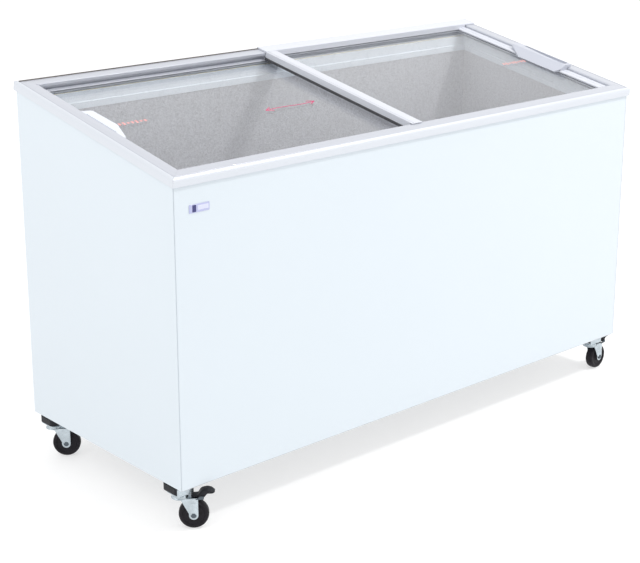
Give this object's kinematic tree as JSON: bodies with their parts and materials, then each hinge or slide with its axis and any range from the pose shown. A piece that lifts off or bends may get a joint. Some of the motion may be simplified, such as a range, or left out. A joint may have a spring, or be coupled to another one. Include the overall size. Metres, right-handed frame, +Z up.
{
  "type": "sliding glass lid chest freezer",
  "caption": "White ice-cream chest freezer with an inclined top, two sliding glass lids on two levels, an embossed liner, a rear machine space and swivel castors.",
  "frame": {"origin": "on the floor, under the middle of the cabinet", "axes": "+X along the length to the right as seen from the front, +Y to the rear, +Z up"},
  "size_m": [1.7023, 0.6931, 1.0277],
  "materials": {
    "white_painted_steel": "gloss white powder paint on steel sheet",
    "galvanised_steel": "galvanised sheet",
    "foam": "rigid polyurethane foam",
    "embossed_aluminium": "stucco embossed aluminium",
    "white_plastic": "white extruded plastic",
    "rim_profile": "light grey lacquered extrusion",
    "copper": "copper tube",
    "glass": "clear toughened glass",
    "dark_seal": "dark grey seal",
    "black_plastic": "black moulded plastic",
    "zinc": "bright zinc plated steel",
    "wheel_rubber": "black rubber",
    "black_paint": "black paint",
    "fin_aluminium": "mill finish fins",
    "grey_plastic": "light grey moulded plastic",
    "lamp_lens": "green lens",
    "badge_enamel": "blue and white enamel"
  },
  "bodies": {
    "cabinet": {"front_panel": "white_painted_steel", "rear_panel": "white_painted_steel", "left_side_panel": "white_painted_steel", "right_side_panel": "white_painted_steel", "base_pan": "galvanised_steel", "foam_insulation": "foam", "inner_liner": "embossed_aluminium", "breaker_collar": "white_plastic", "evaporator_coil": "copper", "top_frame_front": "rim_profile", "top_frame_rear": "rim_profile", "top_frame_left": "rim_profile", "top_frame_right": "rim_profile", "frame_corner_keys": "black_plastic", "castor_blocks": "black_plastic", "castor_plates": "zinc", "castor_bolts": "zinc", "compressor": "black_paint", "compressor_feet": "dark_seal", "relay_cover": "black_plastic", "condenser": "fin_aluminium", "fan_shroud": "galvanised_steel", "fan_motor": "black_paint", "filter_drier": "copper", "refrigerant_pipes": "copper", "side_grille": "grey_plastic", "control_panel": "grey_plastic", "thermostat_body": "black_plastic", "pilot_lamp": "lamp_lens", "cord_gland": "black_plastic", "badge": "badge_enamel", "drain_tube": "grey_plastic"},
    "upper_lid": {"right_lid_glass": "glass", "right_lid_front_runner": "white_plastic", "right_lid_rear_rail": "white_plastic", "right_lid_centre_profile": "white_plastic", "right_lid_seal": "dark_seal", "right_lid_end_profile": "white_plastic", "right_lid_handle": "white_plastic"},
    "lower_lid": {"left_lid_glass": "glass", "left_lid_runners": "white_plastic", "left_lid_profiles": "white_plastic", "left_lid_handle": "white_plastic"},
    "fan": {"fan_blade": "fin_aluminium"},
    "knob": {"thermostat_knob": "black_plastic"},
    "plug": {"drain_plug": "grey_plastic"},
    "front_left_castor": {"front_left_fork": "zinc", "front_left_axle": "zinc"},
    "front_left_roller": {"front_left_wheel": "wheel_rubber"},
    "front_left_pedal": {"front_left_brake_pedal": "black_plastic"},
    "front_right_castor": {"front_right_fork": "zinc", "front_right_axle": "zinc"},
    "front_right_roller": {"front_right_wheel": "wheel_rubber"},
    "front_right_pedal": {"front_right_brake_pedal": "black_plastic"},
    "rear_left_castor": {"rear_left_fork": "zinc", "rear_left_axle": "zinc"},
    "rear_left_roller": {"rear_left_wheel": "wheel_rubber"},
    "rear_right_castor": {"rear_right_fork": "zinc", "rear_right_axle": "zinc"},
    "rear_right_roller": {"rear_right_wheel": "wheel_rubber"}
  },
  "joints": [
    {"name": "upper_lid_slide", "type": "slide", "parent": "cabinet", "child": "upper_lid", "axis": [1, 0, 0], "range_m": [-0.68, 0]},
    {"name": "lower_lid_slide", "type": "slide", "parent": "cabinet", "child": "lower_lid", "axis": [1, 0, 0], "range_m": [0, 0.68]},
    {"name": "fan_spin", "type": "hinge", "parent": "cabinet", "child": "fan", "pos_m": [0.757, -0.03, 0.25], "axis": [1, 0, 0], "continuous": true},
    {"name": "thermostat_turn", "type": "hinge", "parent": "cabinet", "child": "knob", "pos_m": [0.838, -0.245, 0.335], "axis": [1, 0, 0], "range_deg": [0, 300]},
    {"name": "plug_lift", "type": "slide", "parent": "cabinet", "child": "plug", "axis": [0, 0, 1], "range_m": [0, 0.03]},
    {"name": "front_left_swivel", "type": "hinge", "parent": "cabinet", "child": "front_left_castor", "pos_m": [-0.813, -0.292, 0.085], "axis": [0, 0, 1], "continuous": true},
    {"name": "front_left_roll", "type": "hinge", "parent": "front_left_castor", "child": "front_left_roller", "pos_m": [-0.78772, -0.31321, 0.0375], "axis": [0.6428, 0.766, 0], "continuous": true},
    {"name": "front_left_brake", "type": "hinge", "parent": "front_left_castor", "child": "front_left_pedal", "pos_m": [-0.77125, -0.32703, 0.0845], "axis": [0.6428, 0.766, 0], "range_deg": [0, 8]},
    {"name": "front_right_swivel", "type": "hinge", "parent": "cabinet", "child": "front_right_castor", "pos_m": [0.775, -0.292, 0.085], "axis": [0, 0, 1], "continuous": true},
    {"name": "front_right_roll", "type": "hinge", "parent": "front_right_castor", "child": "front_right_roller", "pos_m": [0.80792, -0.2897, 0.0375], "axis": [-0.0698, 0.9976, 0], "continuous": true},
    {"name": "front_right_brake", "type": "hinge", "parent": "front_right_castor", "child": "front_right_pedal", "pos_m": [0.82937, -0.2882, 0.0845], "axis": [-0.0698, 0.9976, 0], "range_deg": [0, 8]},
    {"name": "rear_left_swivel", "type": "hinge", "parent": "cabinet", "child": "rear_left_castor", "pos_m": [-0.813, 0.277, 0.085], "axis": [0, 0, 1], "continuous": true},
    {"name": "rear_left_roll", "type": "hinge", "parent": "rear_left_castor", "child": "rear_left_roller", "pos_m": [-0.78772, 0.25579, 0.0375], "axis": [0.6428, 0.766, 0], "continuous": true},
    {"name": "rear_right_swivel", "type": "hinge", "parent": "cabinet", "child": "rear_right_castor", "pos_m": [0.775, 0.277, 0.085], "axis": [0, 0, 1], "continuous": true},
    {"name": "rear_right_roll", "type": "hinge", "parent": "rear_right_castor", "child": "rear_right_roller", "pos_m": [0.74642, 0.2935, 0.0375], "axis": [-0.5, -0.866, 0], "continuous": true}
  ]
}
